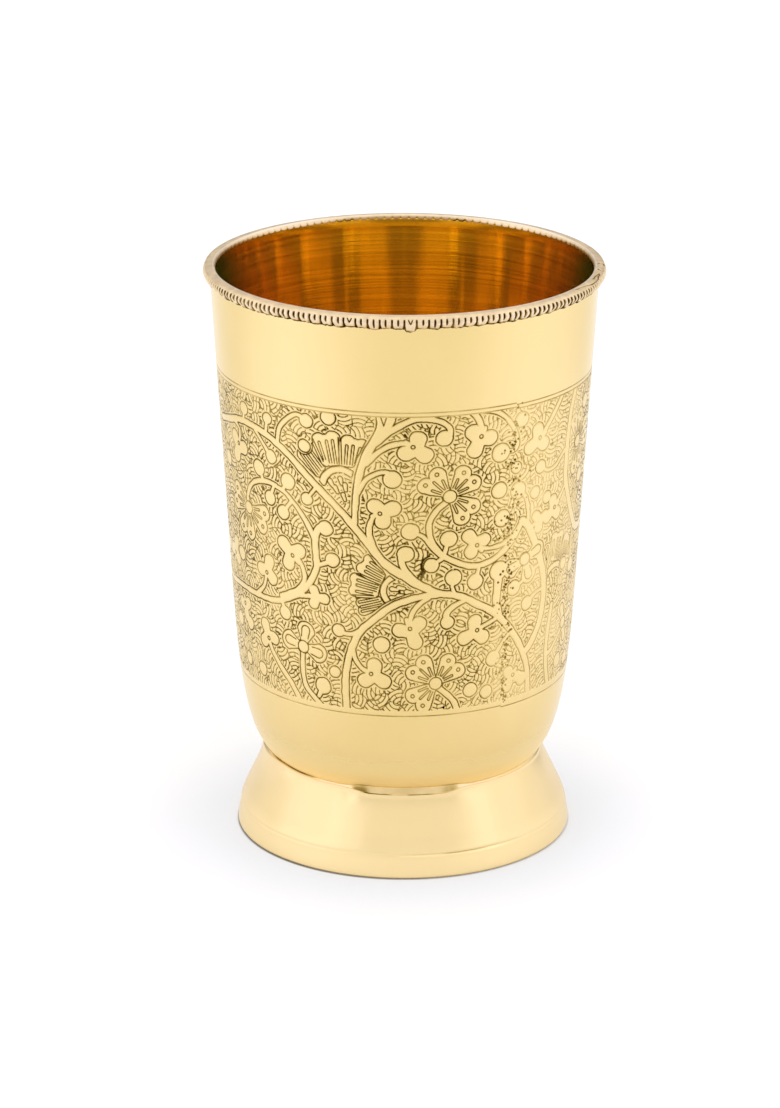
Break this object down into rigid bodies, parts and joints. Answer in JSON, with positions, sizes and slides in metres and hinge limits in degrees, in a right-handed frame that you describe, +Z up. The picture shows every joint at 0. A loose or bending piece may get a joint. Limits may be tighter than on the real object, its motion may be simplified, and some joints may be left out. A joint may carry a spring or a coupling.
{
  "type": "brass tumbler",
  "caption": "Spun brass drinking tumbler: tapered bowl with an engraved floral band, a milled wire round the lip and a soldered flared foot.",
  "frame": {"origin": "middle of the foot's resting face", "axes": "+Z up along the axis that the tumbler was turned on; the rim wire's joint is near +X, a little towards -Y"},
  "size_m": [0.0778, 0.0778, 0.115],
  "materials": {
    "engraved_brass": "polished, with a floral band engraved through a darkened ground",
    "milled_brass": "milled lobes, bright crowns and dark grooves",
    "polished_brass": "polished on the lathe",
    "solder": "dull, as run"
  },
  "bodies": {
    "root": {"body_shell": "engraved_brass", "rim_wire": "milled_brass", "foot_skirt": "polished_brass", "foot_solder_ring": "solder"}
  },
  "joints": []
}
